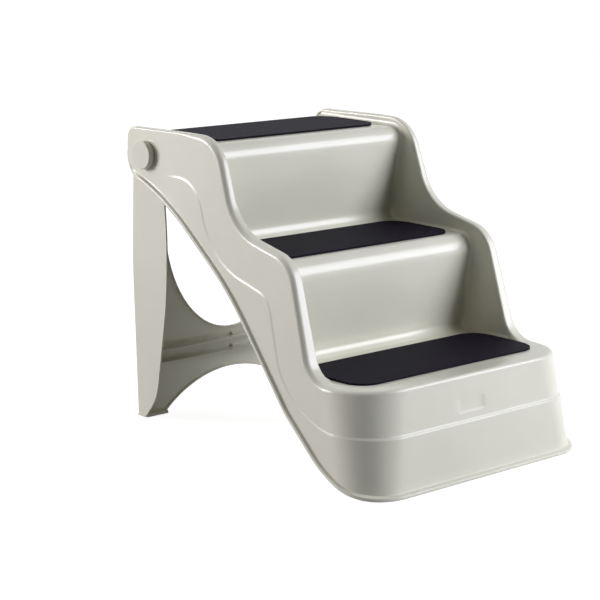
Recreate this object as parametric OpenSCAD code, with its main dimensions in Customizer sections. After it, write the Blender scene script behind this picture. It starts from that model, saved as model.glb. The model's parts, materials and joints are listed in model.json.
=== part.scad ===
// Folding three-step pet stair: a one-piece moulded stair body with raised side rails,
// three tread mats, and a hinged rear leg frame that folds forward under the steps.
// Millimetres. X runs across the stair, the steps climb towards +Y, the floor is z = 0.

/* [Stair body] */
// Width across the hem at the floor
body_w = 416; // [400:2:440]
// Height of the lowest tread
first_rise = 133; // [130:1:138]
// Height from one tread to the next
rise = 137.2; // [134:0.2:140]
// Distance from the front hem to the lower nosing
first_going = 193; // [190:0.5:197]
// Distance from one nosing to the next
going = 142; // [138:1:146]
// How far the foot of each riser stands behind its nosing
riser_run = 22.6; // [18:0.2:26]
// Height of the rails above the top tread
rail_h = 12.6; // [10:0.2:18]
// Width of a rail along its crest
rail_w = 12.6; // [12:0.2:14]
// Thickness of the outer wall and the treads
wall = 3; // [2.4:0.2:3.4]
// Thickness of the inner wall of each rail
rail_wall = 2; // [1.6:0.2:2.2]

/* [Curves of the body] */
// Rounding of each nosing
nose_r = 20; // [14:0.5:24]
// Hollow at the foot of each riser
riser_foot_r = 12; // [8:0.5:16]
// Radius of the front corners at the floor
corner_r = 55; // [45:1:70]
// How far the side walls lean in, per mm of height
side_draft = 0.046; // [0.03:0.002:0.05]
// How far the front wall leans back, per mm of height
front_draft = 0.105; // [0.06:0.005:0.14]
// How far the flange stands out along the sides
flange_out = 4.8; // [3:0.2:6]
// How far the flange stands out along the front
flange_front = 6.8; // [4:0.2:8]
// Height of the flange round the hem
flange_h = 6; // [4:0.5:10]
// How far the lower band stands proud of the upper wall
band_out = 2; // [1:0.2:3]
// Height of the edge of the band round the front
band_z = 79; // [64:1:94]

/* [Hinge] */
// Distance of the hinge axis behind the upper nosing
hinge_back = 139; // [136:0.5:142]
// Depth of the hinge axis below the top tread
hinge_down = 25.4; // [24.4:0.2:27]
// Diameter of the hinge pin
pin_d = 16; // [12:0.5:18]
// Running clearance between a pin and its bore, on the radius
pin_gap = 0.05; // [0.02:0.01:0.1]
// Diameter of the round pin head
head_d = 39; // [34:1:42]
// Thickness of the round pin head
head_t = 7.8; // [6:0.2:9]
// Diameter of the moulded seat round each pin
seat_d = 44; // [43:0.5:46]
// Side clearance between the leg and what it runs against
side_gap = 0.3; // [0.2:0.05:0.5]

/* [Leg frame] */
// Distance from the side of the hem to the outer face of a blade
blade_in = 27; // [26.8:0.1:27.2]
// Distance from the hinge axis back to the leg's feet
foot_back = 46; // [44:0.5:50]
// Thickness of the blades
blade_t = 2.4; // [2:0.2:2.6]
// How far the outer face of each blade stands in at the floor
blade_lean = 15; // [10:1:20]
// Height at which the blades bend inwards
bend_z = 225; // [220:1:240]
// Thickness of the rear panel
panel_t = 2.6; // [2:0.2:3.4]
// Width of the rear panel beside the upper opening
panel_side = 53; // [50:1:60]
// Height of the bottom of the upper opening
opening_z = 110; // [106:1:125]
// Radius of the arch between the feet
arch_r = 175; // [172:1:190]
// Height of the arch above the floor
arch_h = 48; // [40:1:54]
// Depth of the two cross ribs and their gussets
rib_d = 20; // [16:1:24]
// Length of the hinge bosses
boss_l = 18; // [14:1:22]
// Diameter of the hinge bosses
boss_d = 36; // [30:1:40]

/* [Mats and feet] */
// Bare width of the lowest tread beside its mat
mat_side = 9; // [7:0.1:12]
// Depth of each mat
mat_d = 119.5; // [110:0.5:124]
// Corner radius of the mats
mat_r = 30; // [20:1:40]
// Thickness of the mats
mat_t = 3.6; // [3:0.2:4.4]
// Depth of the mat recesses
recess = 0.8; // [0.6:0.1:1.2]
// Clearance round the mats and the rubber feet
mat_gap = 0.3; // [0.2:0.05:0.6]
// How far the rubber feet stand below the hem
foot_proud = 1; // [0.5:0.1:2]
// Diameter of the front feet
foot_d = 20; // [16:1:24]

/* [Hidden] */
$fn = 64;

ivory = [0.80, 0.79, 0.74];
charcoal = [0.13, 0.12, 0.15];
steel = [0.70, 0.71, 0.73];
rubber = [0.22, 0.22, 0.23];

// Reach of the cutting and guiding shapes, beyond every part
far = 2 * (first_going + 2 * going);
// Places along and across the stair
tread_z = [first_rise, first_rise + rise, first_rise + 2 * rise];
nose_y = [first_going, first_going + going];
crest_z = tread_z[2] + rail_h;
hinge_y = nose_y[1] + hinge_back;
hinge_z = tread_z[2] - hinge_down;
lobe_y = hinge_y + 43.5;
body_l = hinge_y + foot_back;
blade_x = body_w / 2 - blade_in;
opening_w = blade_x - panel_side;

// Half widths of the outer wall, the rail's inner face and a mat at a height
upper_w = body_w / 2 - flange_out;
function wall_x(z) = upper_w - side_draft * z;
inner_draft = 0.018;
function rail_x(z) = wall_x(crest_z) - rail_w + inner_draft * (crest_z - z);
mat_taper = 3;
function mat_x(i) = rail_x(tread_z[0]) - mat_side - mat_taper * i;

// Plane geometry
function unit(v) = v / norm(v);
function turn(a, b, c) = cross(b - a, c - b);
function flat(p) = [p[0], p[1]];

// Points of the arc of radius r that rounds corner b between a and c
function rounded(a, b, c, r) = r <= 0.01 ? [b] :
    let (u = unit(a - b), v = unit(c - b), half = acos(u * v) / 2,
         start = b + u * r / tan(half), middle = b + unit(u + v) * r / sin(half),
         sweep = (180 - 2 * half) * sign(turn(a, b, c)),
         from = atan2(start[1] - middle[1], start[0] - middle[0]),
         steps = max(2, ceil(abs(sweep) / 10), ceil(abs(sweep) * r * PI / 180 / 16)))
    [for (k = [0 : steps]) middle + r * [cos(from + sweep * k / steps), sin(from + sweep * k / steps)]];

// Closed outline with each corner [y, z, r] rounded to its radius
function outline(corners) = let (n = len(corners))
    [for (i = [0 : n - 1])
        each rounded(flat(corners[(i + n - 1) % n]), flat(corners[i]), flat(corners[(i + 1) % n]),
                     corners[i][2])];

// The same corners with each edge moved inwards by its distance, radii following
function inset(corners, d) = let (n = len(corners))
    [for (i = [0 : n - 1])
        let (a = flat(corners[(i + n - 1) % n]), b = flat(corners[i]), c = flat(corners[(i + 1) % n]),
             e1 = unit(b - a), e2 = unit(c - b), d1 = d[(i + n - 1) % n], d2 = d[i],
             p = b + e1 * (d1 * (e1 * e2) - d2) / cross(e1, e2) + d1 * [-e1[1], e1[0]],
             r = corners[i][2])
        [p[0], p[1], r <= 0.01 ? 0 : max(0.5, r - d1 * sign(cross(e1, e2)))]];
function every(n, d) = [for (i = [1 : n]) d];

// Extrusions of [y, z] outlines across the stair and of [x, z] outlines along it
module across(w) {
    rotate([90, 0, 90]) linear_extrude(height = w, center = true) children();
}
module between_y(y0, y1) {
    translate([0, y1, 0]) rotate([90, 0, 0]) linear_extrude(height = y1 - y0) children();
}
module at_both_sides() {
    children();
    mirror([1, 0, 0]) children();
}
// Moves the stair from its front hem to the middle of its length
module place() {
    translate([0, -body_l / 2, 0]) children();
}
module on_side(side) {
    if (side > 0) mirror([1, 0, 0]) children();
    else children();
}

// Hem line from the front to the hinge lobe, then the lobe's back and top
hem_corners = [
    [66.5, foot_proud, 170],
    [nose_y[0] - 26, tread_z[0] - 47, 137],
    [nose_y[1] - 47.5, tread_z[1] - 47, 466],
    [hinge_y - 48, hinge_z - 56.5, 380],
    [lobe_y, hinge_z - 25, 50]];
// Crest of the rails from the back to where they run out on the lowest tread
crest_corners = [
    [lobe_y, crest_z, 14],
    [nose_y[1] - 9.5, crest_z, 55],
    [nose_y[1] - 51.5, tread_z[1] + 34, 79],
    [nose_y[0] - 21, tread_z[1] + 9.3, 51],
    [nose_y[0] - 68, tread_z[0], 41]];
side_corners = concat([[-60, foot_proud, 0]], hem_corners, crest_corners, [[-60, tread_z[0], 0]]);
// Edges of side_corners: the hem is open downwards, the rest is one wall thick
open_depth = 40;
cavity_insets = concat(every(5, -open_depth), every(6, wall), [0]);

// Room above the treads
step_corners = [
    [-60, tread_z[0], 0],
    [nose_y[0] + riser_run, tread_z[0], riser_foot_r],
    [nose_y[0], tread_z[1], nose_r],
    [nose_y[1] + riser_run, tread_z[1], riser_foot_r],
    [nose_y[1], tread_z[2], nose_r],
    [far, tread_z[2], 0],
    [far, far, 0],
    [-60, far, 0]];
function step_grown(d) = inset(step_corners, every(len(step_corners), -d));

// Edge of the lower band along the side, front to back
band_corners = [
    [-60, band_z, 0],
    [nose_y[0] - 96, band_z - 3, 101],
    [nose_y[0] - 18, band_z + 32, 102],
    [nose_y[0] + 17, tread_z[1] - 43, 31],
    [nose_y[1] - 5, tread_z[1] - 12, 115],
    [nose_y[1] + 27, tread_z[2] - 46.5, 55],
    [lobe_y, tread_z[2] - 53, 0],
    [lobe_y, -60, 0],
    [-60, -60, 0]];

// Solid with the plan of the body and its drafted walls, grown outwards by g
front_top = crest_z + 20;
arc_steps = 12;
corner_flare = 0.14;
function plan_y(z, g) = flange_front * (1 - g / flange_out) + front_draft * z;
function plan_r(z, g) = corner_r + g + corner_flare * z;
function plan_ring(z, g) = let (w = wall_x(z) + g, r = plan_r(z, g), y = plan_y(z, g))
    concat([[w, far, z]],
           [for (k = [0 : arc_steps]) let (a = -90 * k / arc_steps)
               [w - r + r * cos(a), y + r + r * sin(a), z]],
           [for (k = [0 : arc_steps]) let (a = -90 - 90 * k / arc_steps)
               [-w + r + r * cos(a), y + r + r * sin(a), z]],
           [[-w, far, z]]);
module drafted_block(g) {
    low = plan_ring(-20, g);
    n = len(low);
    polyhedron(
        points = concat(low, plan_ring(front_top, g)),
        faces = concat(
            [[for (i = [0 : n - 1]) n - 1 - i]],
            [[for (i = [0 : n - 1]) n + i]],
            [for (i = [0 : n - 1]) each [[i, (i + 1) % n, n + i], [(i + 1) % n, n + (i + 1) % n, n + i]]]));
}

// Room above the treads between the rails, grown by d downwards and dx sideways
module step_room(d, dx) {
    intersection() {
        across(2 * body_w) polygon(outline(step_grown(d)));
        between_y(-100, far + 100) polygon([
            [-rail_x(0) - dx, 0], [rail_x(0) + dx, 0],
            [rail_x(far) + dx, far], [-rail_x(far) - dx, far]]);
    }
}

// Outside of the body: wall, lower band and flange
module outer_form() {
    intersection() {
        across(2 * body_w) polygon(outline(side_corners));
        drafted_block(0);
    }
    intersection() {
        across(2 * body_w) polygon(outline(side_corners));
        across(2 * body_w) polygon(outline(band_corners));
        drafted_block(band_out);
    }
    intersection() {
        across(2 * body_w) difference() {
            polygon(outline(side_corners));
            polygon(outline(inset(side_corners, concat(every(5, flange_h), every(7, 0)))));
        }
        between_y(-100, hinge_y + 24) square([2 * body_w, 2 * far], center = true);
        drafted_block(flange_out);
    }
}

// Hollow below the treads and up inside the rails
module cavity() {
    difference() {
        intersection() {
            across(2 * body_w) polygon(outline(inset(side_corners, cavity_insets)));
            drafted_block(-wall);
        }
        step_room(wall, rail_wall);
    }
}

// The treads and risers reach a little below the hem line between the side walls
sheet_drop = 14;
module inner_limit() {
    across(2 * body_w) polygon(outline(inset(side_corners,
        concat(every(5, -sheet_drop), every(7, wall / 2)))));
}
module tread_sheet() {
    intersection() {
        difference() {
            step_room(wall, rail_wall);
            step_room(0, 0);
        }
        inner_limit();
        drafted_block(-wall / 2);
    }
}

// Stiffening ribs along the underside of the treads and risers
rib_x = [-60, 60];
under_rib_h = 9;
under_rib_t = 2.4;
module under_ribs() {
    intersection() {
        for (x = rib_x) translate([x, 0, 0]) across(under_rib_t) difference() {
            polygon(outline(step_grown(wall + under_rib_h)));
            polygon(outline(step_grown(wall / 2)));
        }
        inner_limit();
        drafted_block(-wall / 2);
    }
}

// Hinge seat: a flat ring on both faces of the side wall
seat_out = wall_x(hinge_z - seat_d / 2) + 0.5;
module hinge_seat() {
    translate([blade_x + side_gap, hinge_y, hinge_z]) rotate([0, 90, 0])
        cylinder(d = seat_d, h = seat_out - blade_x - side_gap);
}
module hinge_bore(r) {
    translate([blade_x - 40, hinge_y, hinge_z]) rotate([0, 90, 0]) cylinder(r = r, h = 80);
}

// Stops behind the leg, carried by the body's rear wall
stop_w = 26;
stop_h = 30;
stop_z = hinge_z - 18;
module leg_stop() {
    translate([blade_x - blade_t - 5 - stop_w, leg_rear(stop_z) + side_gap, stop_z])
        cube([stop_w, lobe_y - wall / 2 - leg_rear(stop_z) - side_gap, stop_h]);
}

// Sockets of the front feet, on the inside of the front wall
foot_x = upper_w - 93.2;
foot_y = plan_y(0, 0) + wall + foot_d / 2 + 5;
foot_hold = 8;
socket_wall = 3;
module foot_socket() {
    translate([foot_x, foot_y, foot_proud])
        cylinder(d = foot_d + 2 * (mat_gap + socket_wall), h = foot_hold + socket_wall);
    translate([foot_x - foot_d / 2, plan_y(0, 0) + wall / 2, foot_proud])
        cube([foot_d, foot_y - plan_y(0, 0) - wall / 2 - foot_d / 2, foot_hold + socket_wall]);
}

module mat_plan(i, grow) {
    w = 2 * (mat_x(i) + grow);
    d = mat_d + 2 * grow;
    r = mat_r + grow;
    translate([-w / 2, -grow]) polygon([for (c = [[w - r, d - r, 0], [r, d - r, 90], [r, r, 180],
                                                [w - r, r, 270]])
        each [for (k = [0 : 9]) [c[0] + r * cos(c[2] + 10 * k), c[1] + r * sin(c[2] + 10 * k)]]]);
}
mat_front = [62, nose_y[0] + 29.5, nose_y[1] + 37.5];
module mat_solid(i, grow, h) {
    translate([0, mat_front[i], tread_z[i] - recess]) linear_extrude(height = h) mat_plan(i, grow);
}

module step_shell() {
    color(ivory) place() difference() {
        union() {
            difference() {
                outer_form();
                step_room(0, 0);
                cavity();
            }
            tread_sheet();
            under_ribs();
            at_both_sides() hinge_seat();
            at_both_sides() leg_stop();
            at_both_sides() foot_socket();
        }
        at_both_sides() hinge_bore(pin_d / 2 + pin_gap);
        at_both_sides() translate([foot_x, foot_y, foot_proud - 5])
            cylinder(d = foot_d + 2 * mat_gap, h = foot_hold + 5);
        for (i = [0 : 2]) mat_solid(i, mat_gap, recess + 5);
    }
}

module mat(i) {
    color(charcoal) place() mat_solid(i, 0, mat_t);
}
module tread_mat_lower() { mat(0); }
module tread_mat_middle() { mat(1); }
module tread_mat_upper() { mat(2); }

// Back plane of the leg frame leans towards the hinge by this much per mm of height
leg_back = 0.025;
lip = 2.5;
function leg_rear(z) = body_l - lip - leg_back * z;
leg_top = hinge_z - 12;

// Side view of a blade
blade_corners = [
    [hinge_y + 29, foot_proud, 0],
    [leg_rear(foot_proud), foot_proud, 0],
    [leg_rear(leg_top), leg_top, 18],
    [hinge_y + 14, hinge_z + 20, 14],
    [hinge_y - 14, hinge_z + 20, 14],
    [hinge_y - 33, hinge_z - 52, 80],
    [hinge_y - 43.8, 225, 450],
    [hinge_y - 1.2, 35.5, 80]];
// Front view of the gently bent blades, and of everything between their outer faces
bend_r = 1500;
function blade_face(d) = concat(
    [[blade_x - blade_lean - d, -20]],
    rounded([blade_x - blade_lean - d, 0], [blade_x - d, bend_z], [blade_x - d, far], bend_r),
    [[blade_x - d, far]]);
function backwards(v) = [for (i = [len(v) - 1 : -1 : 0]) v[i]];
module blade_sheet() {
    polygon(concat(blade_face(0), backwards(blade_face(blade_t))));
}
module leg_front_view(d) {
    polygon(concat(blade_face(d), backwards([for (p = blade_face(d)) [-p[0], p[1]]])));
}
module blade() {
    intersection() {
        across(2 * body_w) polygon(outline(blade_corners));
        between_y(0, far) blade_sheet();
    }
}

// Upper opening: half an ellipse below opening_mid, straight sides above it
opening_mid = 287;
function ellipse(a, b, n) = [for (k = [0 : n]) [-a * cos(180 * k / n), -b * sin(180 * k / n)]];
module upper_opening(grow) {
    translate([0, opening_mid]) polygon(concat(
        ellipse(opening_w + grow, opening_mid - opening_z + grow, 36),
        [[opening_w + grow, far], [-opening_w - grow, far]]));
}
module arch(grow) {
    translate([0, arch_h + foot_proud - arch_r]) circle(r = arch_r + grow, $fn = 120);
}

// Sheet parallel to the back of the leg, from d1 to d2 in front of it
module back_sheet(d1, d2) {
    across(2 * body_w) polygon([
        [leg_rear(foot_proud) - d2, foot_proud], [leg_rear(foot_proud) - d1, foot_proud],
        [leg_rear(leg_top) - d1, leg_top], [leg_rear(leg_top) - d2, leg_top]]);
}
rim_t = 2.2;
rim_d = 5;
module rear_panel() {
    intersection() {
        back_sheet(0, panel_t);
        between_y(0, far) difference() {
            leg_front_view(0);
            upper_opening(0);
            arch(0);
        }
    }
    // Rims round the two openings
    intersection() {
        back_sheet(0, rim_d);
        between_y(0, far) intersection() {
            leg_front_view(0);
            union() {
                difference() {
                    upper_opening(rim_t);
                    upper_opening(0);
                }
                difference() {
                    arch(rim_t);
                    arch(0);
                }
            }
        }
    }
}

rib_t = 2.2;
rib_z = [76, 94];
gusset_t = 2.2;
module rib_edge(z, h) {
    intersection() {
        back_sheet(0, rib_d);
        between_y(0, far) intersection() {
            leg_front_view(blade_t / 2);
            translate([-body_w, z]) square([2 * body_w, h]);
        }
    }
}
gusset_h = 6;
// Triangle that stands on a rib and leans on the panel
module gusset(x, z) {
    translate([x, 0, 0]) across(gusset_t) polygon([
        [leg_rear(z) - panel_t / 2, z], [leg_rear(z) - panel_t / 2, z + gusset_h],
        [leg_rear(z) - panel_t - gusset_h, z]]);
}
// Flat triangle between a blade and the panel, above the foot
foot_gusset_z = 22;
foot_gusset_l = 16;
module foot_gusset() {
    blade_at = blade_x - blade_lean * (1 - foot_gusset_z / bend_z) - blade_t / 2;
    panel_at = leg_rear(foot_gusset_z) - panel_t / 2;
    translate([0, 0, foot_gusset_z]) linear_extrude(height = gusset_t) polygon([
        [blade_at, panel_at], [blade_at - foot_gusset_l, panel_at], [blade_at, panel_at - foot_gusset_l]]);
}
foot_plate = 4;
foot_inner = blade_x - 53;
module leg_foot_plate() {
    intersection() {
        between_y(0, far) intersection() {
            leg_front_view(blade_t / 2);
            translate([foot_inner, foot_proud]) square([body_w, foot_plate]);
        }
        across(2 * body_w) polygon([
            [leg_rear(0) - 18, foot_proud], [leg_rear(0) - 1, foot_proud],
            [leg_rear(0) - 1, foot_proud + foot_plate], [leg_rear(0) - 18, foot_proud + foot_plate]]);
    }
    // Lip round the back of the foot
    intersection() {
        between_y(0, far) intersection() {
            leg_front_view(0);
            translate([foot_inner + 8, foot_proud]) square([body_w, foot_plate]);
        }
        across(2 * body_w) polygon([
            [leg_rear(0) - 4, foot_proud], [body_l, foot_proud],
            [body_l, foot_proud + 2], [leg_rear(0) - 1, foot_proud + foot_plate]]);
    }
}
leg_pad_l = 28;
leg_pad_w = 10;
leg_pad_t = 3;
leg_pad_x = blade_x - 35.5;
module leg_pad_plan(grow) {
    for (s = [-1, 1]) translate([leg_pad_x + s * (leg_pad_l - leg_pad_w) / 2, leg_rear(0) - 10])
        circle(d = leg_pad_w + 2 * grow);
    translate([leg_pad_x - (leg_pad_l - leg_pad_w) / 2, leg_rear(0) - 10 - leg_pad_w / 2 - grow])
        square([leg_pad_l - leg_pad_w, leg_pad_w + 2 * grow]);
}

module leg_frame() {
    color(ivory) place() difference() {
        union() {
            at_both_sides() blade();
            rear_panel();
            for (z = rib_z) {
                rib_edge(z, rib_t);
                gusset(0, z + rib_t);
            }
            at_both_sides() leg_foot_plate();
            at_both_sides() foot_gusset();
            at_both_sides() translate([blade_x - boss_l, hinge_y, hinge_z]) rotate([0, 90, 0])
                cylinder(d = boss_d, h = boss_l);
        }
        at_both_sides() hinge_bore(pin_d / 2 + pin_gap);
        at_both_sides() translate([0, 0, foot_proud - 5])
            linear_extrude(height = 5 + leg_pad_t - foot_proud) leg_pad_plan(mat_gap);
    }
}

// Hinge pin: round head outside, stem through wall and boss, screw hole in its end
pin_end = blade_x - boss_l - side_gap;
screw_d = 5;
screw_l = 16;
screw_gap = 0.05;
washer_t = 1.6;
washer_d = 28;
screw_head_d = 10;
screw_head_t = 3.2;
module hinge_pin() {
    color(ivory) place() difference() {
        union() {
            translate([pin_end, hinge_y, hinge_z]) rotate([0, 90, 0])
                cylinder(d = pin_d, h = seat_out - pin_end + head_t / 2);
            translate([seat_out, hinge_y, hinge_z]) rotate([0, 90, 0]) {
                cylinder(d = head_d, h = head_t - 1);
                translate([0, 0, head_t - 1]) cylinder(d1 = head_d, d2 = head_d - 2, h = 1);
            }
        }
        translate([pin_end - 1, hinge_y, hinge_z]) rotate([0, 90, 0])
            cylinder(d = screw_d + 2 * screw_gap, h = screw_l + 2);
    }
}
module hinge_washer() {
    color(steel) place() translate([pin_end - washer_t, hinge_y, hinge_z]) rotate([0, 90, 0])
        difference() {
            cylinder(d = washer_d, h = washer_t);
            translate([0, 0, -1]) cylinder(d = screw_d + 0.4, h = washer_t + 2);
        }
}
module hinge_screw() {
    color(steel) place() translate([pin_end - washer_t, hinge_y, hinge_z]) rotate([0, 90, 0])
        difference() {
            union() {
                translate([0, 0, -screw_head_t]) cylinder(d = screw_head_d, h = screw_head_t);
                cylinder(d = screw_d, h = washer_t + screw_l);
            }
            for (a = [0, 90]) rotate([0, 0, a]) translate([-3, -0.6, -screw_head_t - 1])
                cube([6, 1.2, 2.6]);
        }
}
module hinge_pin_left() { on_side(1) hinge_pin(); }
module hinge_pin_right() { hinge_pin(); }
module hinge_washer_left() { on_side(1) hinge_washer(); }
module hinge_washer_right() { hinge_washer(); }
module hinge_screw_left() { on_side(1) hinge_screw(); }
module hinge_screw_right() { hinge_screw(); }

module front_foot() {
    color(rubber) place() translate([foot_x, foot_y, 0]) {
        cylinder(d1 = foot_d - 2, d2 = foot_d, h = foot_proud);
        translate([0, 0, foot_proud]) cylinder(d = foot_d, h = foot_hold - mat_gap);
    }
}
module leg_pad() {
    color(rubber) place() linear_extrude(height = leg_pad_t - mat_gap) leg_pad_plan(0);
}
module front_foot_left() { on_side(1) front_foot(); }
module front_foot_right() { front_foot(); }
module leg_foot_left() { on_side(1) leg_pad(); }
module leg_foot_right() { leg_pad(); }

step_shell();
leg_frame();
tread_mat_lower();
tread_mat_middle();
tread_mat_upper();
hinge_pin_left();
hinge_pin_right();
hinge_washer_left();
hinge_washer_right();
hinge_screw_left();
hinge_screw_right();
front_foot_left();
front_foot_right();
leg_foot_left();
leg_foot_right();
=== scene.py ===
"""A folding three-step pet stair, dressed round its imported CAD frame.

The CAD carries the leg frame, pins, mats, screws and feet; they keep their meshes and get soft edges
and materials. The moulded stair body is replaced by one lofted skin with the roundings of a moulding.
Plain closed pieces under the skin stand for its ribs, hinge seats, leg stops and foot sockets.
Lengths up to the camera are millimetres from the middle of the front hem, and place() turns them into
the frame. Lengths of the camera, light and floor are metres.
"""
import json
import math

import bmesh
import bpy
import numpy as np
from mathutils import Matrix, Vector


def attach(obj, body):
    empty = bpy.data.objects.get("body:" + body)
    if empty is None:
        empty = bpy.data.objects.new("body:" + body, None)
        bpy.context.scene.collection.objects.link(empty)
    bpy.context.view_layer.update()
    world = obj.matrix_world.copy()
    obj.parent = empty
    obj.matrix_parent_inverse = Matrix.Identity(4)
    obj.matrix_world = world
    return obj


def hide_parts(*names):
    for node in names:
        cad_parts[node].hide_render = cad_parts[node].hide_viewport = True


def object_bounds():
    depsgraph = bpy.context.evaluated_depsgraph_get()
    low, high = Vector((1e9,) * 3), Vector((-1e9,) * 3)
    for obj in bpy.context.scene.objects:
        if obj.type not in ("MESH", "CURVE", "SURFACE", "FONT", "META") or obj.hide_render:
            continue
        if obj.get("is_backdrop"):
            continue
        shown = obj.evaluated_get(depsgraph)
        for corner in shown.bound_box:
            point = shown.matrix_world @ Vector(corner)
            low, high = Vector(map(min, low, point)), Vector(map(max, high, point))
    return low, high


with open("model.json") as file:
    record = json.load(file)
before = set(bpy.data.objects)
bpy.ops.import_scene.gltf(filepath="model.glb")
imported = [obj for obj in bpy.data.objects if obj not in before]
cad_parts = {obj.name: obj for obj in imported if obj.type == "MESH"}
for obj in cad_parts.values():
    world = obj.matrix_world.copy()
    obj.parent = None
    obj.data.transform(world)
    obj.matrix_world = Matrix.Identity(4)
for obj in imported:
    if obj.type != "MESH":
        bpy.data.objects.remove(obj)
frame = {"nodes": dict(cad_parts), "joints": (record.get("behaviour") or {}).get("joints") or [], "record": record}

MM = 0.001
cad_low, cad_high = (list(corner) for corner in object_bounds())
front_y = cad_low[1] / MM


def place(points):
    """Millimetres from the middle of the front hem, as metres in the frame."""
    return (np.asarray(points, dtype=float) + (0.0, front_y, 0.0)) * MM


# Driving sizes of the stair body. The drafts are how far a wall leans for each millimetre of height, and
# corner_flare is what the front corners' radius gains for each. riser_run is how far a riser's foot stands
# behind its nosing, front_out how far the hem stands before the front wall, and foot_proud the hem's height
# over the floor.

hinge = np.array(frame["joints"][0]["pos_m"]) / MM - (0.0, front_y, 0.0)
hinge_y, hinge_z = hinge[1], hinge[2]
first_rise = 133.0
rise = 137.2
first_going = 193.0
going = 142.0
riser_run = 22.6
rail_h = 12.6
rail_w = 12.6
floor_half_w = 203.2
side_draft = 0.046
inner_draft = 0.018
front_out = 6.8
front_draft = 0.118
corner_r = 55.0
corner_flare = 0.14
foot_proud = 0.4
skin = 2.6

tread_z = [first_rise + rise * i for i in range(3)]
nose_y = [first_going, first_going + going]
crest_z = tread_z[2] + rail_h
lobe_y = hinge_y + 43.5

# Flange along the hem and raised band above it: how far they stand out, and where they fade to the rear.
# Both stand out more at the front: the flange by front_flange, the band by band_out instead of side_band.

flange_out = 4.8
flange_h = 6.0
front_flange = 1.8
flange_end = hinge_y + 6.0
fade_run = 19.0
band_out = 2.0
side_band = 0.7
band_z = 76.4
band_end = hinge_y - 62.0
band_fade = 40.0

# Roundings of the skin. The crest's goes from crest_r to lobe_r behind lobe_from.

crest_r = 6.8
front_r = 4.0
lobe_r = 2.5
lobe_from = 350.0
lobe_blend = 60.0
nose_r = 20.0
inner_r = 3.0
fillet_r = 5.0

# How far the front edge rises above the lowest tread, and the run over which it falls back

front_lift = 1.6
lift_run = 40.0

# Shallow bare panel in the front wall. Even columns nearer to its ends than panel_clear are left out, and
# panel_back keeps it off the flat behind the wall.

panel_x = (-41.0, 12.5)
panel_z = (88.4, 104.6)
panel_deep = 1.3
panel_edge = 0.7
panel_clear = 3.0
panel_back = 9.0

# Mesh of the skin: rows across the flange and the band's edge, as (height above it, share of its step)

hem_rows = [(0.0, 0.6), (0.3, 0.85), (0.9, 1.0), (flange_h - 2.0, 1.0), (flange_h - 1.2, 0.86),
            (flange_h - 0.6, 0.5), (flange_h, 0.15), (flange_h + 0.8, 0.0)]
step_rows = [(-2.1, 1.0), (-1.5, 0.95), (-0.9, 0.78), (0.0, 0.5), (0.9, 0.22), (1.5, 0.05), (2.1, 0.0)]
wall_rows = 4
upper_rows = 6
arc_steps = 7
top_rows = 2
inner_steps = 4
inner_rows = 4
fillet_steps = 5
corner_steps = 18
across_steps = 28
column_step = 3.5
key_digits = 4

# Where the side wall is lower than full_reach its rows close up. The band's edge keeps row_gap clear of
# the rows below and above it, and comes softly to its lowest place.

full_reach = 42.0
least_slant = 0.5
row_gap = 1.5
soft = 2.0
soft_limit = 50.0


def wall_x(z, out=0.0):
    """Half width over the side walls at a height."""
    return floor_half_w - side_draft * z + out


def rail_x(z):
    """Half width between the rails at a height."""
    return wall_x(crest_z) - rail_w + inner_draft * (crest_z - z)


def smooth(t):
    """Goes from 0 to 1 as t does, level at both ends."""
    t = min(max(t, 0.0), 1.0)
    return t * t * (3 - 2 * t)


def unit(v):
    return v / np.linalg.norm(v)


def blend(a, b, count):
    """Places strictly between a and b."""
    return [a + (b - a) * (k + 1) / (count + 1) for k in range(count)]


def quarter(count):
    """Angles of a quarter turn in equal steps."""
    return [math.pi / 2 * k / count for k in range(count + 1)]


# Outlines in the side view

arc_turn = math.radians(6)
arc_length = 2.0
same_place = 1e-6


def rounded(corners):
    """Polyline through corners (y, z, radius), each rounded to its radius."""
    out = [np.array(corners[0][:2], float)]
    for k in range(1, len(corners) - 1):
        a, b, c = (np.array(corners[k + i][:2], float) for i in (-1, 0, 1))
        r = corners[k][2]
        u, v = unit(a - b), unit(c - b)
        half = math.acos(np.clip(u @ v, -1, 1)) / 2
        start = b + u * r / math.tan(half)
        middle = b + unit(u + v) * r / math.sin(half)
        side = np.sign((b[0] - a[0]) * (c[1] - b[1]) - (b[1] - a[1]) * (c[0] - b[0]))
        turn = (math.pi - 2 * half) * side
        first = math.atan2(*(start - middle)[::-1])
        count = max(3, math.ceil(abs(turn) / arc_turn), math.ceil(abs(turn) * r / arc_length))
        angles = first + turn * np.linspace(0, 1, count + 1)
        out.extend(middle + r * np.column_stack([np.cos(angles), np.sin(angles)]))
    out.append(np.array(corners[-1][:2], float))
    return np.array(out)


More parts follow.
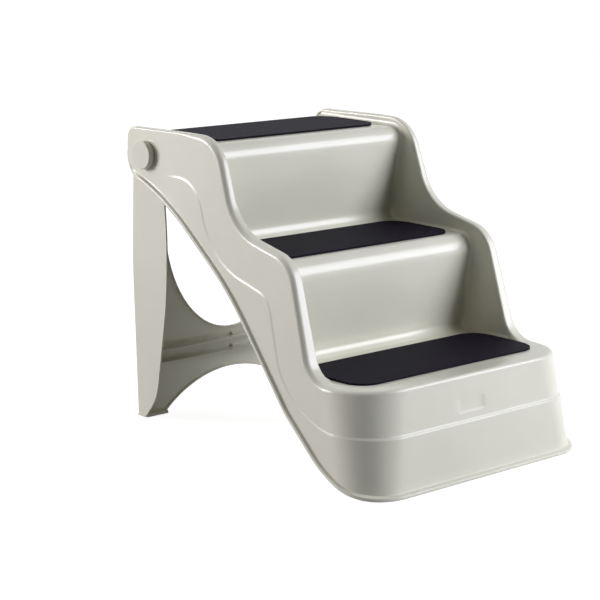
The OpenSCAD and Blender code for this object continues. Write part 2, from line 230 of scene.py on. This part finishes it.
class Outline:
    """A side-view curve, read by its length and by places near it."""

    def __init__(self, corners):
        points = rounded(corners)
        apart = np.linalg.norm(np.diff(points, axis=0), axis=1) > same_place
        self.points = points[np.append(True, apart)]
        steps = np.linalg.norm(np.diff(self.points, axis=0), axis=1)
        self.at = np.append(0, np.cumsum(steps))

    def point(self, s):
        return np.array([np.interp(s, self.at, self.points[:, i]) for i in (0, 1)])

    def normal(self, s, reach=1.5):
        """Unit normal to the left of the way the curve runs."""
        a, b = self.point(max(s - reach, 0)), self.point(min(s + reach, self.at[-1]))
        t = unit(b - a)
        return np.array([-t[1], t[0]])

    def height(self, y):
        """Height of the curve at a distance from the front hem."""
        return np.interp(y, self.points[:, 0], self.points[:, 1])

    def near(self, y, z):
        """Length at the point of the curve nearest to a place."""
        a, b = self.points[:-1], self.points[1:]
        t = np.clip(((np.array([y, z]) - a) * (b - a)).sum(1) / ((b - a) ** 2).sum(1), 0, 1)
        gaps = np.linalg.norm(a + (b - a) * t[:, None] - (y, z), axis=1)
        k = int(gaps.argmin())
        return self.at[k] + t[k] * (self.at[k + 1] - self.at[k])

    def crossing(self, a, b):
        """Length from a at which the line from a to b crosses the curve, and the curve's normal there."""
        u = unit(b - a)
        gaps = (self.points - a) @ np.array([-u[1], u[0]])
        for k in range(len(gaps) - 1):
            if gaps[k] * gaps[k + 1] <= 0 and gaps[k] != gaps[k + 1]:
                t = gaps[k] / (gaps[k] - gaps[k + 1])
                at = (self.points[k] + t * (self.points[k + 1] - self.points[k]) - a) @ u
                if 0 < at < np.linalg.norm(b - a):
                    return at, self.normal(self.at[k] + t * (self.at[k + 1] - self.at[k]))
        return None


# Every outline begins well in front of the hem and ends behind the hinge

start_y = -60
lobe_end = (hinge_y + 30.0, hinge_z - 28.5)
lobe_foot = (lobe_y, hinge_z - 11, 34)
lobe_back = [
    (lobe_y - 122.0, crest_z, 200),
    (lobe_y, crest_z - 2.6, 14),
    lobe_foot,
    (*lobe_end, 0)]

hem = Outline([
    (start_y, foot_proud, 0),
    (66.5, foot_proud, 170),
    (nose_y[0] - 26, tread_z[0] - 47, 137),
    (nose_y[1] - 47.5, tread_z[1] - 47, 466),
    (hinge_y - 48, hinge_z - 56.5, 400),
    (hinge_y + 25.5, hinge_z - 30.5, 0)])
band = Outline([
    (start_y, band_z, 0),
    (nose_y[0] - 96, band_z - 1.5, 101),
    (nose_y[0] - 18, band_z + 33.5, 102),
    (nose_y[0] + 17, tread_z[1] - 43, 31),
    (nose_y[1] - 5, tread_z[1] - 12, 115),
    (nose_y[1] + 27, tread_z[2] - 46.5, 55),
    (hinge_y - 12, hinge_z - 24, 40),
    (hinge_y + 27.5, hinge_z - 29.6, 0)])
crest = Outline([
    (start_y, tread_z[0], 0),
    (nose_y[0] - 68, tread_z[0], 41),
    (nose_y[0] - 21, tread_z[1] + 9.3, 51),
    (nose_y[1] - 51.5, tread_z[1] + 34, 79),
    (nose_y[1] - 9.5, crest_z, 55),
    *lobe_back])
tread = Outline([
    (start_y, tread_z[0], 0),
    (nose_y[0] + riser_run, tread_z[0], 12),
    (nose_y[0], tread_z[1], nose_r + 3),
    (nose_y[1] + riser_run + 2.5, tread_z[1], 15),
    (nose_y[1], tread_z[2], nose_r),
    (lobe_y, tread_z[2], 8),
    lobe_foot,
    (*lobe_end, 0)])

# Plan of the front: straight front, two corners, then the side walls

settle_rounds = 12


def plan_y(z, out):
    return front_out * (1 - out / flange_out) + front_draft * z


def plan_r(z, out):
    return corner_r + out + corner_flare * z


def corner_point(angle, z, out, inset=0.0):
    """Point at an angle round the right front corner; 0 is the side wall and -90 the front."""
    r = plan_r(z, out)
    x = wall_x(z, out) - r + (r - inset) * math.cos(angle)
    y = plan_y(z, out) + r + (r - inset) * math.sin(angle)
    return np.array([x, y, z])


def curve_height(curve, angle, out, lift=0.0):
    """Height at which a side-view curve, lifted, crosses the corner's line at an angle."""
    z = curve.points[0][1] + lift
    for _ in range(settle_rounds):
        z = curve.height(corner_point(angle, z, out)[1]) + lift
    return float(z)


def side_start(curve, out):
    """Length along a side-view curve at which the side wall begins."""
    z = curve_height(curve, 0.0, out)
    return curve.near(corner_point(0.0, z, out)[1], z)


# Cross-sections of the skin, each from the hem up over the rail's top and in to the tread


def outer_wall(h, c, nh, nc, small, radius, fade):
    """Flange, band and wall from the hem h to the rounding below the crest c, and the place it ends."""
    reach = np.linalg.norm(c - h)
    u = (c - h) / reach
    band_here = side_band * (1 - smooth((h[0] - band_end) / band_fade))
    slant = max(least_slant, u @ nh)
    rows = [(lift * small / slant, band_here + share * (flange_out - band_here))
            for lift, share in hem_rows]
    foot = rows[-1][0]
    end = reach - radius / max(least_slant, -u @ nc)
    # The band's edge stays clear of the flange below it and of the rounding above it
    cut = band.crossing(h, c)
    at, slant = (cut[0], max(least_slant, abs(u @ cut[1]))) if cut else (reach * 0.5, 1.0)
    half_step = step_rows[-1][0] * small / slant
    lowest = foot + half_step + row_gap * small
    at = lowest + soft * math.log1p(math.exp(min((at - lowest) / soft, soft_limit)))
    at = min(at, end - half_step - row_gap * small)
    rows += [(s, band_here) for s in blend(foot, at - half_step, wall_rows)]
    rows += [(at + lift * small / slant, band_here * share) for lift, share in step_rows]
    rows += [(s, 0.0) for s in blend(at + half_step, end, upper_rows)]
    wall = [(wall_x((h + u * s)[1], out * fade), *(h + u * s)) for s, out in rows]
    return wall, h + u * end


def crest_rounding(c, nc, radius, start):
    """Outer rounding of the rail's top, from the end of the wall to the crest c."""
    arc = []
    for a in quarter(arc_steps):
        p = c + nc * radius * (1 - math.sin(a)) if a > 0 else start
        arc.append((wall_x(p[1]) - radius * (1 - math.cos(a)), *p))
    return arc


def rail_inside(c, t, nc, nt, radius):
    """Rail's top, its inner rounding and face, and the fillet to the tread t."""
    share = min(1.0, float(np.linalg.norm(c - t)) / (inner_r + fillet_r))
    rows = [(x, *c) for x in blend(wall_x(c[1]) - radius, rail_x(c[1]) + inner_r, top_rows)]
    for a in quarter(inner_steps):
        p = c + nc * inner_r * share * (1 - math.cos(a))
        rows.append((rail_x(p[1]) + inner_r * (1 - math.sin(a)), *p))
    low = t + nt * fillet_r * share
    high = c + nc * inner_r * share
    rows += [(rail_x(p[1]), *p) for p in blend(high, low, inner_rows)]
    for a in quarter(fillet_steps):
        p = t + nt * fillet_r * share * (1 - math.sin(a))
        rows.append((rail_x(p[1]) - fillet_r * (1 - math.cos(a)), *p))
    return rows


def side_column(hem_at, crest_at, tread_at):
    """Cross-section of the right side at lengths along the hem, crest and tread outlines."""
    h, c, t = hem.point(hem_at), crest.point(crest_at), tread.point(tread_at)
    nh, nc, nt = hem.normal(hem_at), -crest.normal(crest_at), tread.normal(tread_at)
    fade = 1 - smooth((h[0] - flange_end) / fade_run)
    small = min(1.0, np.linalg.norm(c - h) / full_reach)
    radius = (lobe_r + (crest_r - lobe_r) * (1 - smooth((c[0] - lobe_from) / lobe_blend))) * small
    wall, wall_end = outer_wall(h, c, nh, nc, small, radius, fade)
    return np.array(wall + crest_rounding(c, nc, radius, wall_end) + rail_inside(c, t, nc, nt, radius))


def corner_column(angle):
    """Cross-section round the right front corner at an angle, with as many rows as side_column."""
    column = []
    ahead = smooth(-2 * angle / math.pi)
    # Flange, wall and the band's edge
    band_here = side_band + (band_out - side_band) * ahead
    for lift, share in hem_rows:
        out = band_here + share * (flange_out + front_flange * ahead - band_here)
        column.append(corner_point(angle, curve_height(hem, angle, out, lift), out))
    foot_top = column[-1][2]
    step_z = curve_height(band, angle, band_here)
    for z in blend(foot_top, step_z + step_rows[0][0], wall_rows):
        column.append(corner_point(angle, z, band_here))
    for lift, share in step_rows:
        column.append(corner_point(angle, step_z + lift, band_here * share))
    # Wall above the band: as many rows as upper_rows, close where the panel's edges lie
    lift = front_lift * ahead
    radius = crest_r + (front_r - crest_r) * ahead
    top = tread_z[0]
    ledge, edge = step_z + step_rows[-1][0], top + lift - radius
    heights = [0.5 * (ledge + panel_z[0]), panel_z[0] - panel_edge, panel_z[0] + panel_edge,
               panel_z[1] - panel_edge, panel_z[1] + panel_edge, 0.5 * (edge + panel_z[1])]
    for z in heights:
        column.append(corner_point(angle, z, 0.0))
    # Rounding to the top, then the flat in to where the tread begins
    for a in quarter(arc_steps):
        z = top + lift - radius * (1 - math.sin(a))
        column.append(corner_point(angle, z, 0.0, radius * (1 - math.cos(a))))
    rail = wall_x(top) - rail_x(top)
    flat = blend(radius, rail - inner_r, top_rows)
    flat += [rail - inner_r * (1 - math.sin(a)) for a in quarter(inner_steps)]
    flat += [rail] * inner_rows
    flat += [rail + fillet_r * (1 - math.cos(a)) for a in quarter(fillet_steps)]
    for inset in flat:
        height = top + lift * (1 - smooth((inset - radius) / lift_run))
        column.append(corner_point(angle, height, 0.0, inset))
    return np.array(column)


# Places that belong together on the hem, crest and tread outlines, front to back
matches = [
    ((88, 22), (111, 133), (112, 133)),
    ((108, 38), (124, 136), (132, 133)),
    ((125, 52), (133, 145), (159, 133)),
    ((140, 64), (139, 165), (184, 133)),
    ((158, 80), (145, 192), (203, 134)),
    ((170, 92), (152, 215), (210, 145)),
    ((184, 107), (157, 235), (206, 170)),
    ((198, 122), (162, 252), (201, 215)),
    ((210, 137), (169, 270), (195, 252)),
    ((218, 146), (180, 279), (197, 266)),
    ((228, 158), (194, 284.5), (206, 270.2)),
    ((245, 178), (216, 290), (234, 270.2)),
    ((262, 197), (239, 295), (269, 270.2)),
    ((280, 215), (262, 303), (305, 270.2)),
    ((300, 233), (284, 321), (343, 270.6)),
    ((320, 250), (294, 340), (352, 278)),
    ((340, 266), (303, 365), (349, 302)),
    ((358, 279), (312, 390), (343, 348)),
    ((376, 293), (321, 406), (337, 388)),
    ((395, 306), (336, 416), (338, 404)),
    ((415, 318), (354, 420), (348, 407.4)),
    ((440, 330), (396, 420), (394, 407.4)),
    ((465, 339), (450, 420), (450, 407.4)),
    ((480, 344), (490, 420), (490, 407.4)),
    ((488, 347), (504, 419.7), (506, 407.2)),
    ((492, 348.5), (517.5, 398), (517.5, 398))]


def side_lengths():
    """Lengths along the three outlines for each column of a side, front to back."""
    corner_end = plan_y(tread_z[0], 0) + plan_r(tread_z[0], 0)
    keys = [[side_start(hem, flange_out), crest.near(corner_end, tread_z[0]),
             tread.near(corner_end, tread_z[0])]]
    for places in matches:
        keys.append([curve.near(*p) for curve, p in zip((hem, crest, tread), places)])
    keys.append([curve.at[-1] for curve in (hem, crest, tread)])
    lengths = [keys[0]]
    for a, b in zip(keys, keys[1:]):
        a, b = np.array(a), np.array(b)
        count = max(2, math.ceil((b - a).max() / column_step))
        for k in range(count):
            lengths.append(a + (b - a) * (k + 1) / count)
    return lengths


def right_columns():
    """Cross-sections from the straight front round the right corner to the rear of the side."""
    columns = [corner_column(-math.pi / 2 * (1 - k / corner_steps)) for k in range(corner_steps)]
    columns += [side_column(*lengths) for lengths in side_lengths()]
    return columns


class Skin:
    """Vertices and faces, with places that agree to key_digits stored once."""

    def __init__(self):
        self.verts = []
        self.faces = []
        self.index = {}

    def vertex(self, p):
        key = tuple(np.round(p, key_digits))
        if key not in self.index:
            self.index[key] = len(self.verts)
            self.verts.append(p)
        return self.index[key]

    def quad(self, *places):
        """Face through four places; where two meet it is a triangle, and where more do it is left out."""
        ids = tuple(dict.fromkeys([self.vertex(p) for p in places]))
        if len(ids) > 2:
            self.faces.append(ids)


def across_shares(half):
    """Places across the front as shares of its half width, with close pairs at the panel's ends."""
    even = {2 * j / across_steps - 1 for j in range(across_steps + 1)}
    clear = {u for u in even if min(abs(u * half - x) for x in panel_x) > panel_clear}
    ends = {(x + side * panel_edge) / half for x in panel_x for side in (-1, 1)}
    return sorted(clear | ends)


def add_sides(body_skin, right):
    """Side walls, rails and corners, on both sides."""
    flip = np.array([-1.0, 1.0, 1.0])
    for a, b in zip(right, right[1:]):
        for k in range(len(a) - 1):
            body_skin.quad(a[k], b[k], b[k + 1], a[k + 1])
            body_skin.quad(a[k] * flip, a[k + 1] * flip, b[k + 1] * flip, b[k] * flip)


def add_front(body_skin, first, shares):
    """Straight front, with the bare panel let into it."""
    half = first[0][0]
    wall_end = first[-1][1] - panel_back

    def at(p, u):
        in_panel = panel_x[0] < u * half < panel_x[1] and panel_z[0] < p[2] < panel_z[1] and p[1] < wall_end
        return p * (u, 1, 1) + (0, panel_deep if in_panel else 0, 0)

    for u, v in zip(shares, shares[1:]):
        for a, b in zip(first, first[1:]):
            body_skin.quad(at(a, u), at(a, v), at(b, v), at(b, u))


def add_treads(body_skin, right, shares):
    """Treads and risers between the two sides."""
    for a, b in zip(right, right[1:]):
        p, q = a[-1], b[-1]
        for u, v in zip(shares, shares[1:]):
            body_skin.quad(p * (u, 1, 1), p * (v, 1, 1), q * (v, 1, 1), q * (u, 1, 1))


def mesh_object(name, verts, faces, smooth_shade=True):
    mesh = bpy.data.meshes.new(name)
    mesh.from_pydata([tuple(v) for v in place(verts)], [], faces)
    mesh.validate()
    for polygon in mesh.polygons:
        polygon.use_smooth = smooth_shade
    obj = bpy.data.objects.new(name, mesh)
    bpy.context.scene.collection.objects.link(obj)
    return obj


# Materials


def new_material(name):
    mat = bpy.data.materials.new(name)
    mat.use_nodes = True
    tree = mat.node_tree
    tree.nodes.clear()
    out = tree.nodes.new("ShaderNodeOutputMaterial")
    shader = tree.nodes.new("ShaderNodeBsdfPrincipled")
    tree.links.new(shader.outputs[0], out.inputs[0])
    return mat, tree, shader


def node(tree, kind, **values):
    """New node, with values for its inputs or, where it has no such input, its settings."""
    n = tree.nodes.new(kind)
    for key, value in values.items():
        if key in n.inputs.keys():
            n.inputs[key].default_value = value
        else:
            setattr(n, key, value)
    return n


def noise(tree, vector, scale, detail):
    n = node(tree, "ShaderNodeTexNoise", Scale=scale, Detail=detail)
    tree.links.new(vector, n.inputs["Vector"])
    return n.outputs["Fac"]


def tint(tree, shader, source, *stops):
    """Base colour that follows a source between two stops, each a share of it and a colour."""
    n = tree.nodes.new("ShaderNodeValToRGB")
    for element, (at, colour) in zip(n.color_ramp.elements, stops):
        element.position = at
        element.color = (*colour, 1.0)
    tree.links.new(source, n.inputs[0])
    tree.links.new(n.outputs[0], shader.inputs["Base Color"])


def roughen(tree, shader, source, low, high):
    """Roughness that follows a source between two values."""
    n = node(tree, "ShaderNodeMapRange", **{"To Min": low, "To Max": high})
    tree.links.new(source, n.inputs["Value"])
    tree.links.new(n.outputs[0], shader.inputs["Roughness"])


def emboss(tree, shader, source, strength, distance):
    """Fine relief that follows a source."""
    n = node(tree, "ShaderNodeBump", Strength=strength, Distance=distance)
    tree.links.new(source, n.inputs["Height"])
    tree.links.new(n.outputs[0], shader.inputs["Normal"])


def srgb(r, g, b):
    """Display values 0 to 255 as linear colour."""
    def linear(c):
        c /= 255
        return c / 12.92 if c <= 0.04045 else ((c + 0.055) / 1.055) ** 2.4
    return tuple(linear(c) for c in (r, g, b))


def ivory_plastic():
    mat, tree, shader = new_material("ivory_plastic")
    inside = node(tree, "ShaderNodeTexCoord").outputs["Object"]
    cloud = noise(tree, inside, scale=9.0, detail=3.0)
    tint(tree, shader, cloud, (0.3, srgb(213, 211, 193)), (0.7, srgb(218, 216, 199)))
    grain = noise(tree, inside, scale=900.0, detail=2.0)
    roughen(tree, shader, grain, low=0.20, high=0.30)
    emboss(tree, shader, grain, strength=0.02, distance=0.0002)
    shader.inputs["IOR"].default_value = 1.5
    shader.inputs["Specular IOR Level"].default_value = 0.45
    return mat


def charcoal_mat():
    mat, tree, shader = new_material("charcoal_mat")
    inside = node(tree, "ShaderNodeTexCoord").outputs["Object"]
    stretch = node(tree, "ShaderNodeMapping", Scale=(3.0, 260.0, 1.0))
    tree.links.new(inside, stretch.inputs["Vector"])
    streak = noise(tree, stretch.outputs[0], scale=1.0, detail=3.0)
    tint(tree, shader, streak, (0.35, srgb(15, 12, 20)), (0.7, srgb(22, 19, 29)))
    grain = noise(tree, inside, scale=1400.0, detail=2.0)
    roughen(tree, shader, grain, low=0.55, high=0.75)
    emboss(tree, shader, grain, strength=0.3, distance=0.0003)
    shader.inputs["Specular IOR Level"].default_value = 0.05
    return mat


def zinc_steel():
    mat, tree, shader = new_material("zinc_steel")
    inside = node(tree, "ShaderNodeTexCoord").outputs["Object"]
    brush = noise(tree, inside, scale=700.0, detail=3.0)
    tint(tree, shader, brush, (0.3, srgb(172, 174, 178)), (0.7, srgb(196, 198, 202)))
    roughen(tree, shader, brush, low=0.28, high=0.42)
    shader.inputs["Metallic"].default_value = 1.0
    return mat


def foot_rubber():
    mat, tree, shader = new_material("foot_rubber")
    inside = node(tree, "ShaderNodeTexCoord").outputs["Object"]
    grain = noise(tree, inside, scale=1100.0, detail=2.0)
    tint(tree, shader, grain, (0.3, srgb(58, 58, 60)), (0.7, srgb(70, 70, 73)))
    emboss(tree, shader, grain, strength=0.25, distance=0.0003)
    shader.inputs["Roughness"].default_value = 0.7
    return mat


finishes = {
    "ivory_plastic": ivory_plastic(),
    "charcoal_mat": charcoal_mat(),
    "zinc_steel": zinc_steel(),
    "foot_rubber": foot_rubber()}


def finish_with(obj, name):
    obj.data.materials.clear()
    obj.data.materials.append(finishes[name])


def shade_by_area(obj, weight):
    """Lets the large faces lead the shading of the roundings beside them."""
    shade = obj.modifiers.new("shade", "WEIGHTED_NORMAL")
    shade.keep_sharp = True
    shade.weight = weight


# Stair body


def stair_body():
    right = right_columns()
    shares = across_shares(right[0][0][0])
    body_skin = Skin()
    add_sides(body_skin, right)
    add_front(body_skin, right[0], shares)
    add_treads(body_skin, right, shares)
    body = mesh_object("stair_body", body_skin.verts, body_skin.faces)
    thick = body.modifiers.new("thickness", "SOLIDIFY")
    thick.thickness = skin * MM
    thick.offset = -1.0
    shade_by_area(body, weight=60)
    finish_with(body, "ivory_plastic")
    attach(body, "stair")
    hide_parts("step_shell")


stair_body()

# Pieces under the stair body: stiffening ribs, hinge seats, leg stops and foot sockets

rib_x = 60.0
rib_t = 2.4
rib_h = 9.0
rib_least = 3.0
rib_step = 4.0
rib_from = 40
rib_short = 14
rib_sunk = 0.6
blade_x = 181.0
seat_d = 44.0
seat_bore_r = 8.1
seat_gap = 0.4
seat_sunk = 1.0
stop_size = (26.0, 7.3, 30.0)
stop_at = (147.6, 508.7, hinge_z - 18.0)
socket_at = (110.0, 24.8)
socket_r = (10.3, 13.3)
socket_z = (1.0, 12.0)
socket_web = 20.0
web_front = front_out + skin / 2
round_steps = 48


def under_piece(name, verts, faces):
    """Closed piece on the stair body, with its faces turned outwards."""
    obj = mesh_object(name, verts, faces, smooth_shade=False)
    shape = bmesh.new()
    shape.from_mesh(obj.data)
    bmesh.ops.recalc_face_normals(shape, faces=shape.faces)
    shape.to_mesh(obj.data)
    shape.free()
    finish_with(obj, "ivory_plastic")
    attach(obj, "stair")


def between_rings(a, b, count):
    """Quads between two closed rings of points whose first indices are a and b."""
    return [(a + i, a + (i + 1) % count, b + (i + 1) % count, b + i) for i in range(count)]


def under_rib(x):
    """Strip that follows the underside of the treads and risers."""
    sections = []
    rib_end = tread.near(lobe_y - rib_short, tread_z[2])
    for s in np.arange(tread.near(rib_from, tread_z[0]), rib_end, rib_step):
        p, n = tread.point(s), tread.normal(s)
        top = p - n * skin * rib_sunk
        low = p - n * (skin + rib_h)
        least_z = min(hem.height(low[0]), top[1] - rib_least)
        if low[1] < least_z:
            low = top + (low - top) * (top[1] - least_z) / (top[1] - low[1])
        sections.append([(x + a, *q) for a, q in ((-rib_t / 2, low), (rib_t / 2, low),
                                                  (rib_t / 2, top), (-rib_t / 2, top))])
    verts = [v for corners in sections for v in corners]
    last = 4 * (len(sections) - 1)
    faces = [(3, 2, 1, 0), tuple(last + i for i in range(4))]
    for k in range(0, last, 4):
        faces += between_rings(k, k + 4, 4)
    return verts, faces


def tube(profile, at):
    """Closed ring whose section has corners (along, radius); at() places a point of it."""
    verts = []
    for along, r in profile:
        angles = 2 * math.pi * np.arange(round_steps) / round_steps
        verts += [at(along, r * math.cos(a), r * math.sin(a)) for a in angles]
    faces = []
    for k in range(len(profile)):
        faces += between_rings(k * round_steps, (k + 1) % len(profile) * round_steps, round_steps)
    return verts, faces


def tube_profile(low, high, inner_radius, outer_radius):
    """Corners of a tube's section, as (place along the axis, radius)."""
    return [(low, inner_radius), (low, outer_radius), (high, outer_radius), (high, inner_radius)]


def hinge_seat(side):
    profile = tube_profile(blade_x + seat_gap, wall_x(hinge_z) - seat_sunk, seat_bore_r, seat_d / 2)
    return tube(profile, lambda x, a, b: (side * x, hinge_y + a, hinge_z + b))


def foot_socket(side):
    profile = tube_profile(*socket_z, *socket_r)
    return tube(profile, lambda z, a, b: (side * socket_at[0] + a, socket_at[1] + b, z))


def block(low, size):
    bits = [(0, 0, 0), (1, 0, 0), (1, 1, 0), (0, 1, 0), (0, 0, 1), (1, 0, 1), (1, 1, 1), (0, 1, 1)]
    verts = [tuple(low[i] + size[i] * bit[i] for i in range(3)) for bit in bits]
    return verts, [(0, 3, 2, 1), (4, 5, 6, 7), (0, 1, 5, 4), (1, 2, 6, 5), (2, 3, 7, 6), (3, 0, 4, 7)]


def leg_stop(side):
    low_x = side * stop_at[0] - (stop_size[0] if side < 0 else 0)
    return block((low_x, stop_at[1], stop_at[2]), stop_size)


def socket_wall(side):
    """Web from the front wall to the foot socket."""
    depth = socket_at[1] - socket_web / 2 - web_front
    return block((side * socket_at[0] - socket_web / 2, web_front, socket_z[0]),
                 (socket_web, depth, socket_z[1] - socket_z[0]))


for side, word in ((-1, "left"), (1, "right")):
    under_piece("under_rib_" + word, *under_rib(side * rib_x))
    under_piece("hinge_seat_" + word, *hinge_seat(side))
    under_piece("foot_socket_" + word, *foot_socket(side))
    under_piece("leg_stop_" + word, *leg_stop(side))
    under_piece("socket_web_" + word, *socket_wall(side))

# CAD nodes: their finish, and soft edges on those that show

flat_angle = math.radians(0.5)


def soften(obj, width, segments=3, angle=30):
    """Merges flat faces and rounds edges sharper than an angle in degrees by a width in millimetres."""
    flat = obj.modifiers.new("flat", "DECIMATE")
    flat.decimate_type = "DISSOLVE"
    flat.angle_limit = flat_angle
    edge = obj.modifiers.new("edges", "BEVEL")
    edge.width = width * MM
    edge.segments = segments
    edge.limit_method = "ANGLE"
    edge.angle_limit = math.radians(angle)
    shade_by_area(obj, weight=80)
    for polygon in obj.data.polygons:
        polygon.use_smooth = True


slots = {part["node"]: part["material_slot"] for part in frame["record"]["subparts"]}
for name, obj in frame["nodes"].items():
    finish_with(obj, slots[name])

soften(frame["nodes"]["leg_frame"], width=0.8, segments=2)
for name in ("tread_mat_lower", "tread_mat_middle", "tread_mat_upper"):
    soften(frame["nodes"][name], width=0.9)
for side in ("left", "right"):
    soften(frame["nodes"]["hinge_pin_" + side], width=0.9, angle=20)

# Camera

camera_azimuth = math.radians(42.181)
camera_pitch = math.radians(12.19)
camera_roll = math.radians(0.661)
camera_place = Vector((-1.78323, -1.86607, 0.74632))
sensor_mm = 36.0
lens_mm = 115.63


def add_camera():
    data = bpy.data.cameras.new("camera")
    data.sensor_width = sensor_mm
    data.lens = lens_mm
    obj = bpy.data.objects.new("camera", data)
    bpy.context.scene.collection.objects.link(obj)
    ahead = Vector((math.sin(camera_azimuth) * math.cos(camera_pitch),
                    math.cos(camera_azimuth) * math.cos(camera_pitch), -math.sin(camera_pitch)))
    right = Vector((math.cos(camera_azimuth), -math.sin(camera_azimuth), 0.0))
    up = right.cross(ahead)
    x = math.cos(camera_roll) * right + math.sin(camera_roll) * up
    y = math.cos(camera_roll) * up - math.sin(camera_roll) * right
    turn = Matrix((x, y, -ahead)).transposed().to_4x4()
    obj.matrix_world = Matrix.Translation(camera_place) @ turn
    bpy.context.scene.camera = obj


add_camera()

# Light and floor: the floor's glow is white_near up to white_from off the middle, and full from white_to

floor_half = 6.0
floor_grey = 0.42
white_near = 0.92
white_from = 0.5
white_to = 1.4
aim_z = 0.2
white = (1, 1, 1, 1)


def seen_switch(tree, plain, seen):
    """Shader that is `plain` for light on the object and `seen` for camera, mirror and glass rays."""
    path = node(tree, "ShaderNodeLightPath")
    either = node(tree, "ShaderNodeMath", operation="MAXIMUM")
    tree.links.new(path.outputs["Is Camera Ray"], either.inputs[0])
    tree.links.new(path.outputs["Is Glossy Ray"], either.inputs[1])
    third = node(tree, "ShaderNodeMath", operation="MAXIMUM")
    tree.links.new(either.outputs[0], third.inputs[0])
    tree.links.new(path.outputs["Is Transmission Ray"], third.inputs[1])
    mix = node(tree, "ShaderNodeMixShader")
    tree.links.new(third.outputs[0], mix.inputs[0])
    tree.links.new(plain, mix.inputs[1])
    tree.links.new(seen, mix.inputs[2])
    return mix.outputs[0]


def pale_floor():
    """Grey for light on the object; shows near white, with the object's shadow."""
    mat, tree, shader = new_material("pale_floor")
    shader.inputs["Base Color"].default_value = (floor_grey, floor_grey, floor_grey, 1)
    shader.inputs["Roughness"].default_value = 0.9
    shader.inputs["Specular IOR Level"].default_value = 0.0
    glow = node(tree, "ShaderNodeEmission", Color=white)
    away = node(tree, "ShaderNodeVectorMath", operation="LENGTH")
    tree.links.new(node(tree, "ShaderNodeNewGeometry").outputs["Position"], away.inputs[0])
    to_white = node(tree, "ShaderNodeMapRange", **{
        "From Min": white_from, "From Max": white_to, "To Min": white_near, "To Max": 1.0})
    tree.links.new(away.outputs["Value"], to_white.inputs["Value"])
    tree.links.new(to_white.outputs[0], glow.inputs["Strength"])
    both = node(tree, "ShaderNodeAddShader")
    tree.links.new(shader.outputs[0], both.inputs[0])
    tree.links.new(glow.outputs[0], both.inputs[1])
    out = next(n for n in tree.nodes if n.type == "OUTPUT_MATERIAL")
    tree.links.new(seen_switch(tree, shader.outputs[0], both.outputs[0]), out.inputs[0])
    return mat


def studio_floor():
    mesh = bpy.data.meshes.new("floor")
    corners = [(-1, -1), (1, -1), (1, 1), (-1, 1)]
    mesh.from_pydata([(x * floor_half, y * floor_half, 0) for x, y in corners], [], [(0, 1, 2, 3)])
    mesh.materials.append(pale_floor())
    obj = bpy.data.objects.new("floor", mesh)
    bpy.context.scene.collection.objects.link(obj)
    obj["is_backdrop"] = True


def studio_world():
    """White where it is seen, and no light from it on the object."""
    world = bpy.data.worlds.new("studio")
    world.use_nodes = True
    tree = world.node_tree
    tree.nodes.clear()
    out = tree.nodes.new("ShaderNodeOutputWorld")
    seen = node(tree, "ShaderNodeBackground", Color=white, Strength=1.0)
    lit = node(tree, "ShaderNodeBackground", Color=white, Strength=0.0)
    tree.links.new(seen_switch(tree, lit.outputs[0], seen.outputs[0]), out.inputs[0])
    bpy.context.scene.world = world


def low_light(name, azimuth, height, away, power, size, colour):
    """Square light aimed at the object's middle; azimuth 0 is the front, 90 the right side.

    Its azimuth and its height over the horizon are degrees, and its distance and size metres.
    """
    data = bpy.data.lights.new(name, "AREA")
    data.size = size
    data.energy = power
    data.color = colour
    around, up = math.radians(azimuth), math.radians(height)
    obj = bpy.data.objects.new(name, data)
    obj.location = (away * math.sin(around) * math.cos(up), -away * math.cos(around) * math.cos(up),
                    aim_z + away * math.sin(up))
    obj.rotation_euler = (Vector((0.0, 0.0, aim_z)) - obj.location).to_track_quat("-Z", "Y").to_euler()
    bpy.context.scene.collection.objects.link(obj)


studio_floor()
studio_world()
low_light("key", azimuth=38, height=24, away=2.6, power=76, size=1.75, colour=(0.97, 0.99, 1.10))
low_light("fill", azimuth=-137, height=15, away=5.0, power=212, size=1.9, colour=(1.0, 0.99, 1.05))
low_light("top", azimuth=-145, height=58, away=2.6, power=13, size=1.6, colour=(1.0, 1.0, 1.06))

bpy.context.scene.view_settings.view_transform = "Standard"

bpy.context.view_layer.update()
